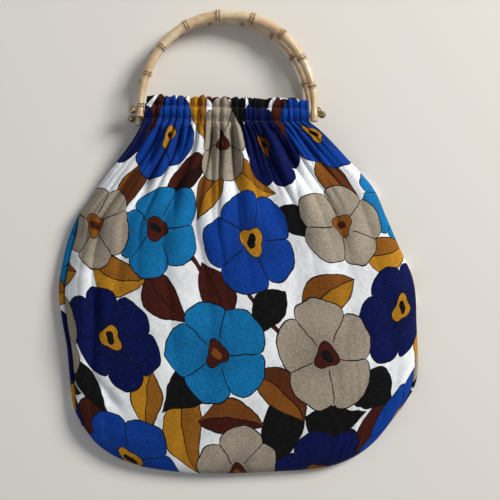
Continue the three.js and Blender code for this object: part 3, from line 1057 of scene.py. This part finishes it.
def arch_line():
    """The middle of a cane in its rod's plane, finely cut, and the length up to each point."""
    angle = np.linspace(0, math.pi, 3000)
    bend = 2 / handle_squareness
    x = -handle_half_span * np.sign(np.cos(angle)) * np.abs(np.cos(angle)) ** bend
    y = handle_height * np.abs(np.sin(angle)) ** bend
    x = np.concatenate([[-handle_half_span], x, [handle_half_span]])
    y = np.concatenate([[-handle_foot], y, [-handle_foot]])
    length = np.concatenate([[0], np.cumsum(np.hypot(np.diff(x), np.diff(y)))])
    return x, y, length


def cane_stations(length):
    """The places along a cane where its line has a point."""
    places = [np.arange(0, length, wide_step), cut_steps, length - cut_steps]
    places += [np.arange(-joint_reach, joint_reach, fine_step) + joint for joint in joint_places]
    joined = np.unique(np.round(np.concatenate(places), 6))
    near_joint = np.min(np.abs(joined[:, None] - joint_places[None]), axis=1) < joint_reach
    on_wide_step = np.isclose((joined / wide_step) % 1, 0, atol=1e-3)
    return joined[~(near_joint & on_wide_step)]


cane_length = arch_line()[2][-1]
print("a cane is", round(cane_length / mm), "mm long, in", len(cane_stations(cane_length)), "steps")

# %% [markdown]
# A cane tapers towards its feet and flares a little where it is cut. At each joint it swells, a
# sharp lip stands out, and a groove lies beside it. Each joint is a sum of five soft bumps and
# hollows, and no two joints are equally strong.

# %% How thick a cane is
left_foot_radius, top_radius, right_foot_radius = 2.4 * mm, 5.0 * mm, 2.6 * mm
joint_strength = (0.75, 1.15)
joint_bumps = [  # how far it stands out, how far past the joint it lies, how wide it is
    (0.55, 0, 2.7), (0.75, 0, 0.75), (-0.4, 1.35, 0.5), (0.2, 2.3, 0.5), (-0.22, -1.8, 0.8),
]
foot_flare = 1.1 * mm
rounded_edge = 0.55 * mm


def cane_radius(place, length, seed):
    draw = np.random.default_rng(seed)
    share = np.clip(place / length, 0, 1)
    foot_radius = np.where(share < 0.5, left_foot_radius, right_foot_radius)
    radius = foot_radius + (top_radius - foot_radius) * np.sin(math.pi * share) ** 0.85
    for joint in joint_places:
        away = (place - joint) / mm
        strength = draw.uniform(*joint_strength)
        radius = radius + mm * strength * sum(
            size * np.exp(-((away - past) / width) ** 2) for size, past, width in joint_bumps)
    from_end = np.minimum(place, length - place)
    radius = radius + foot_flare * smoothstep(from_end, 13 * mm, 5 * mm)
    return radius - rounded_edge * np.maximum(0, 1 - from_end / cut_steps[-1]) ** 2


def cane_path(name, rod, arch_top, seed):
    """The line of one cane as a chain of points that carry what the tree needs."""
    x, y, run = arch_line()
    place = cane_stations(run[-1])
    x, y = np.interp(place, run, x), np.interp(place, run, y)
    lean = -math.asin((rod.place[2] - arch_top) / handle_height)
    path = chain_object(name, rod.at(x, y * math.cos(lean), y * math.sin(lean)))
    past = (place[:, None] - joint_places[None]) / mm
    groove = smoothstep(past, 0.7, 1.15) * smoothstep(past, 2.0, 1.5)
    carried_along = {
        "radius": cane_radius(place, run[-1], seed), "along": place,
        "beside": np.min(np.abs(past), axis=1), "groove": np.max(groove, axis=1),
        "scarred": np.any((past > 1.6) & (past < 3.3), axis=1),
    }
    for label, values in carried_along.items():
        layer = path.data.attributes.new(label, "FLOAT", "POINT")
        layer.data.foreach_set("value", values.astype(np.float32))
    return path


middle_radius = cane_radius(np.array([cane_length / 2]), cane_length, 0)[0]
print("a cane is", round(2 * middle_radius / mm, 1), "mm thick at its top")

# %% [markdown]
# Canes and stitches are both made by Geometry Nodes. Two helpers serve them: one starts a tree with
# named inputs, and one gives the tree to a piece, sets its inputs, and keeps the plain mesh that
# comes out. The last step of every tree is the same: real faces, smooth, with their material.

# %% Helpers for Geometry Nodes


def geometry_tree(name, inputs):
    """A tree with a mesh in, a mesh out and the named inputs, and its graph."""
    tree = bpy.data.node_groups.new(name, "GeometryNodeTree")
    add_sockets(tree, "INPUT", [("Geometry", "Geometry"), *inputs, ("Material", "Material")])
    add_sockets(tree, "OUTPUT", [("Geometry", "Geometry")])
    graph = Graph(tree)
    return tree, graph, graph.node("NodeGroupInput").outputs


def hand_out(graph, given, geometry):
    """Makes the instances real and smooth, gives them their material and ends the tree."""
    real = graph.node("GeometryNodeRealizeInstances", {0: geometry})
    smooth = graph.node("GeometryNodeSetShadeSmooth", {"Geometry": real.outputs[0]})
    finished = graph.node("GeometryNodeSetMaterial", {"Geometry": smooth.outputs[0],
                                                      "Material": given["Material"]})
    graph.node("NodeGroupOutput", {0: finished.outputs[0]})


def grown(piece, tree, name, settings):
    """The plain mesh that a tree makes of a piece, in place of that piece."""
    nodes = piece.modifiers.new(tree.name, "NODES")
    nodes.node_group = tree
    for socket in tree.interface.items_tree:
        if socket.in_out == "INPUT" and socket.name in settings:
            nodes[socket.identifier] = settings[socket.name]
    seen = piece.evaluated_get(bpy.context.evaluated_depsgraph_get())
    mesh = bpy.data.meshes.new_from_object(seen)
    bpy.data.objects.remove(piece)
    made = bpy.data.objects.new(name, mesh)
    mesh.name = name
    scene.collection.objects.link(made)
    print(name, len(mesh.polygons), "faces")
    return made


# %% [markdown]
# The tree of a cane sweeps a circle along the line, as wide as the line's points say. Real cane is
# never quite round, so noise pushes its surface in and out, and more so at the lips, which are
# ragged. Small root scars sit in a band above each joint, scattered with a least distance.

# %% The tree of a cane
cane_tree, grow, given = geometry_tree("cane", [
    ("Sides", "Int"), ("Unevenness", "Float"), ("Scar Spacing", "Float"), ("Scar Size", "Float"),
    ("Seed", "Int")])


def carried(label):
    return grow.node("GeometryNodeInputNamedAttribute", {"Name": label},
                     data_type="FLOAT").outputs[0]


line = grow.node("GeometryNodeMeshToCurve", {"Mesh": given["Geometry"]})
circle = grow.node("GeometryNodeCurvePrimitiveCircle", {"Resolution": given["Sides"],
                                                        "Radius": 1.0})
sweep = grow.node("GeometryNodeCurveToMesh", {
    "Curve": line.outputs[0], "Profile Curve": circle.outputs[0], "Scale": carried("radius"),
    "Fill Caps": True})
normal = grow.node("GeometryNodeInputNormal").outputs[0]
lumps, rags = (grow.node("ShaderNodeTexNoise", {"Scale": scale, "Detail": 2.0}).outputs[0]
               for scale in (110.0, 620.0))
lumps, rags = grow.math("SUBTRACT", lumps, 0.5), grow.math("SUBTRACT", rags, 0.5)
near_lip = grow.ramp(carried("beside"), 3.2, 0.3, 0.0, 4.0)
push = grow.math("MULTIPLY", given["Unevenness"],
                 grow.math("MULTIPLY_ADD", near_lip, rags, lumps))
uneven = grow.node("GeometryNodeSetPosition", {
    "Geometry": sweep.outputs[0],
    "Offset": grow.vector("MULTIPLY", normal, grow.point(push, push, push))})
spots = grow.node("GeometryNodeDistributePointsOnFaces", {
    "Mesh": uneven.outputs[0], "Distance Min": given["Scar Spacing"], "Density Max": 3e6,
    "Density Factor": grow.math("GREATER_THAN", carried("scarred"), 0.5),
    "Seed": given["Seed"]}, distribute_method="POISSON")
scar = grow.node("GeometryNodeMeshIcoSphere", {"Radius": given["Scar Size"], "Subdivisions": 1})
varied = grow.node("FunctionNodeRandomValue", {
    "Min": (0.7, 0.7, 0.7), "Max": (1.3, 1.3, 1.25), "Seed": given["Seed"]},
    data_type="FLOAT_VECTOR")
scars = grow.node("GeometryNodeInstanceOnPoints", {
    "Points": spots.outputs["Points"], "Instance": scar.outputs[0],
    "Rotation": spots.outputs["Rotation"], "Scale": varied.outputs[0]})
joined = grow.node("GeometryNodeJoinGeometry")
for part in (scars.outputs[0], uneven.outputs[0]):
    grow.tree.links.new(part, joined.inputs[0])
hand_out(grow, given, joined.outputs[0])
print(len(grow.tree.nodes), "nodes make a cane")

# %% [markdown]
# Lacquered bamboo is pale honey with fine lines that run along the cane. The tree hands on how far
# each point is along the cane and from its nearest joint, so the lines can follow the bend and the
# joints and cut ends can be darker. A clear coat gives the lacquer's gloss.

# %% Bamboo
bamboo, grain, bamboo_surface = new_material("lacquered_bamboo")
run, beside, groove = (grain.node("ShaderNodeAttribute", attribute_name=label).outputs["Fac"]
                       for label in ("along", "beside", "groove"))
spot = grain.node("ShaderNodeTexCoord").outputs["Object"]
sx, sy, sz = grain.parts(spot)
fibre_place = grain.point(grain.math("MULTIPLY", run, 26.0), grain.math("MULTIPLY", sz, 1500.0),
                          grain.math("MULTIPLY", grain.math("ADD", sx, sy), 60.0))
fibres = grain.noise(fibre_place, 1.0, 4.0, 0.65)
clouding = grain.noise(grain.vector("MULTIPLY", spot, (55, 55, 55)), 1.0, 3.0)
stained = grain.math("MULTIPLY", grain.ramp(beside, 5.5, 0.4, 0.0, 0.8),
                     grain.ramp(grain.noise(spot, 260.0, 3.0), 0.3, 0.62, 0.25, 1.0))
pitted = grain.math("MULTIPLY", grain.ramp(beside, 4.2, 1.2),
                    grain.ramp(grain.noise(spot, 620.0, 2.0), 0.5, 0.6))
cane_colour = rgb("DCC39B")
for where, colour in (
        (grain.ramp(fibres, 0.32, 0.7), "BF9D70"),
        (grain.ramp(clouding, 0.42, 0.68, 0.0, 0.75), "E9DABA"),
        (grain.ramp(clouding, 0.45, 0.25, 0.0, 0.45), "AE8658"),
        (stained, "A07345"),
        (grain.math("MULTIPLY", groove, 0.85), "5A3A20"),
        (grain.ramp(beside, 0.65, 0.25, 0.0, 0.6), "E6D3AC"),  # the lip
        (grain.ramp(grain.noise(spot, 900.0, 2.0), 0.66, 0.74, 0.0, 0.6), "7A4E29"),  # specks
        (grain.math("MULTIPLY", pitted, 0.75), "4E3018"),
        (grain.ramp(run, 0.9 * mm, 0.2 * mm), "8A5E36")):  # the cut end
    cane_colour = grain.mix(where, cane_colour, rgb(colour))
grain.plug(cane_colour, bamboo_surface["Base Color"])
grain.plug(grain.ramp(fibres, 0.2, 0.8, 0.3, 0.44), bamboo_surface["Roughness"])
bamboo_surface["Coat Weight"].default_value = 0.35
bamboo_surface["Coat Roughness"].default_value = 0.16
grain.plug(grain.bump(fibres, 0.12 * mm, 0.5), bamboo_surface["Normal"])
print(len(grain.tree.nodes), "nodes in the bamboo")

# %% [markdown]
# The back cane's top rests on the table, and the front cane's top on the back one, so each arch
# leans from its rod down to a height of its own. Both swing, so each rides on its own body and not
# on the bag.

# %% The two canes
for label, rod, arch_top, seed in (("back", back_rod, 6.9 * mm, 22),
                                   ("front", front_rod, 19.0 * mm, 21)):
    cane = grown(cane_path(label + "_path", rod, arch_top, seed), cane_tree, "cane_" + label, {
        "Sides": 36, "Unevenness": 0.55 * mm, "Scar Spacing": 1.4 * mm, "Scar Size": 0.62 * mm,
        "Seed": seed, "Material": bamboo})
    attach(cane, label + "_handle")
    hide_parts(label + "_handle")

# %% [markdown]
# Brass that has been handled is dull brown in patches and bright where it is rubbed. Noise lays out
# the patches, and a stretched noise makes fine scratches. The rods are plain turned metal and their
# solids are right as they are, so they only get this finish.

# %% Aged brass
brass, worn, brass_surface = new_material("aged_brass")
worn_place = worn.node("ShaderNodeTexCoord").outputs["Object"]
patches = worn.noise(worn_place, 520.0, 4.0, 0.6)
scratches = worn.noise(worn.vector("MULTIPLY", worn_place, (3000, 400, 900)), 1.0, 2.0)
brown_or_bright = worn.mix(worn.ramp(patches, 0.35, 0.65), rgb("4E412A"), rgb("97896A"))
worn.plug(brown_or_bright, brass_surface["Base Color"])
worn.plug(worn.ramp(patches, 0.3, 0.7, 0.5, 0.26), brass_surface["Roughness"])
brass_surface["Metallic"].default_value = 1.0
worn.plug(worn.bump(scratches, 0.05 * mm, 0.4), brass_surface["Normal"])
for node in ("front_rod", "back_rod"):
    for holder in frame["nodes"][node].material_slots:
        holder.material = brass
    print(node, "is brass")

# %% [markdown]
# The screwed balls are small but near the eye. Each is turned on a lathe: a washer against the
# foot, a neck, then the ball. So half its outline is enough, turned about the rod in steps, with a
# point at each end to close it.

# %% The screwed balls
ball_radius = 3.5  # millimetres, like the profile
ball_reach = 92.4 * mm  # from the rod's middle to the ball's
around = 40
ball_profile = [  # millimetres along the rod from the ball's middle, and out from it
    (-3.0, 1.9), (-3.0, 2.35), (-2.85, 2.5), (-2.5, 2.5), (-2.35, 2.35), (-2.35, 1.9), (-2.2, 1.85),
]
ball_profile += [(-math.cos(a) * ball_radius, math.sin(a) * ball_radius)
                 for a in np.linspace(0.68, math.pi - 0.03, 26)]


def turned_ball(name, rod, sign):
    """The profile turned about the rod, outside one end of the handle's foot."""
    middle = rod.place + sign * ball_reach * rod.across
    turn = np.linspace(0, math.tau, around, endpoint=False)
    spoke = np.cos(turn)[:, None] * rod.up + np.sin(turn)[:, None] * np.array([0, 0, 1])
    rings = [middle + sign * reach * mm * rod.across + out * mm * spoke
             for reach, out in ball_profile]
    ends = [middle + sign * (ball_profile[0][0] + 0.6) * mm * rod.across,
            middle + sign * ball_radius * mm * rod.across]
    points = np.vstack(rings + ends)
    last = (len(rings) - 1) * around
    here = range(around)
    after = [(k + 1) % around for k in here]
    faces = [(start + k, start + n, start + around + n, start + around + k)
             for start in range(0, last, around) for k, n in zip(here, after)]
    for k, n in zip(here, after):
        faces += [(n, k, len(points) - 2), (last + k, last + n, len(points) - 1)]
    ball = mesh_object(name.replace("_ball", "_screwed_ball"), points, faces, brass)
    face_outwards(ball)
    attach(ball, "bag")
    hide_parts(name)
    print(ball.name, len(faces), "faces")


for side, rod in (("front", front_rod), ("back", back_rod)):
    for end, sign in (("left", -1), ("right", 1)):
        turned_ball(f"{side}_ball_{end}", rod, sign)

# %% [markdown]
# Rows of stitches hold each panel: two close off the rod's pocket, and one runs along the hem of
# each slit. A stitch is a short piece of thread that sinks in at both ends. Placing hundreds by
# hand would be folly, so a tree lays them out: it cuts a row into even steps and sets one long bead
# of thread on each, turned along the row.

# %% The tree of a row of stitches
stitch_tree, sew, given = geometry_tree("row_of_stitches", [
    ("Step", "Float"), ("Stitch Length", "Float"), ("Thread", "Float"), ("Seed", "Int")])
row = sew.node("GeometryNodeMeshToCurve", {"Mesh": given["Geometry"]})
steps = sew.node("GeometryNodeResampleCurve", {"Curve": row.outputs[0], "Length": given["Step"]},
                 mode="LENGTH")
bead = sew.node("GeometryNodeMeshUVSphere", {"Segments": 6, "Rings": 5, "Radius": 0.5})
tangent = sew.node("GeometryNodeInputTangent").outputs[0]
turned = sew.node("FunctionNodeAlignRotationToVector", {"Vector": tangent}, axis="X")
loose = sew.node("FunctionNodeRandomValue", {2: 0.8, 3: 1.1, "Seed": given["Seed"]}).outputs[1]
long_way = sew.math("MULTIPLY", given["Stitch Length"], loose)
beads = sew.node("GeometryNodeInstanceOnPoints", {
    "Points": steps.outputs[0], "Instance": bead.outputs[0], "Rotation": turned.outputs[0],
    "Scale": sew.point(long_way, given["Thread"], given["Thread"])})
hand_out(sew, given, beads.outputs[0])
print(len(sew.tree.nodes), "nodes make a row of stitches")

# %% [markdown]
# Sewing thread is twisted from plies, which show as small light and dark marks. At this size plain
# noise stands for them.

# %% Thread
thread, twist, thread_surface = new_material("cotton_thread")
thread_place = twist.node("ShaderNodeTexCoord").outputs["Object"]
plies = twist.noise(twist.vector("MULTIPLY", thread_place, (2600, 2600, 2600)), 1.0, 2.0)
twist.plug(twist.mix(plies, rgb("3A3944"), rgb("77757C")), thread_surface["Base Color"])
thread_surface["Roughness"].default_value = 0.75
twist.plug(twist.bump(plies, 0.1 * mm, 0.6), thread_surface["Normal"])
print(len(twist.tree.nodes), "nodes in the thread")

# %% [markdown]
# The panels are grids, so a row of stitches follows a row of their points, and the hem of a slit
# follows a column. The thread lies a hair above the cloth. The two rows across sit where the head's
# profile is pinched, and those beside a slit end just past it.

# %% Rows of stitches
above_cloth = 0.12 * mm
upper_row, lower_row = head_profile.index(upper_pinch), head_count
slit_stitches_end = 0.36  # share of the panel's length
slit_rows = slice(3, int(slit_stitches_end ** (1 / row_spacing) * body_rows))
hem_columns = 5


def grid_line(panel, row=None, column=None):
    """A line of a panel's grid of points, lifted off the cloth by a hair."""
    points, normals = (np.zeros(len(panel.data.vertices) * 3) for _ in range(2))
    panel.data.vertices.foreach_get("co", points)
    panel.data.vertices.foreach_get("normal", normals)
    lifted = (points + above_cloth * normals).reshape(-1, columns, 3)
    return lifted[row] if column is None else lifted[head_count - 1:, column][slit_rows]


def sewn(name, line, seed):
    """One row of stitches that lies on the cloth."""
    row = grown(chain_object(name + "_path", line), stitch_tree, name, {
        "Step": 2.7 * mm, "Stitch Length": 2.3 * mm, "Thread": 0.34 * mm, "Seed": seed,
        "Material": thread})
    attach(row, "bag")


for panel, label in ((cloth_front, "front"), (cloth_back, "back")):
    sewn(f"stitches_upper_{label}", grid_line(panel, row=upper_row), seed=1)
    sewn(f"stitches_lower_{label}", grid_line(panel, row=lower_row), seed=2)
    for side, column in (("left", hem_columns), ("right", columns - 1 - hem_columns)):
        sewn(f"stitches_slit_{side}_{label}", grid_line(panel, column=column), seed=3)
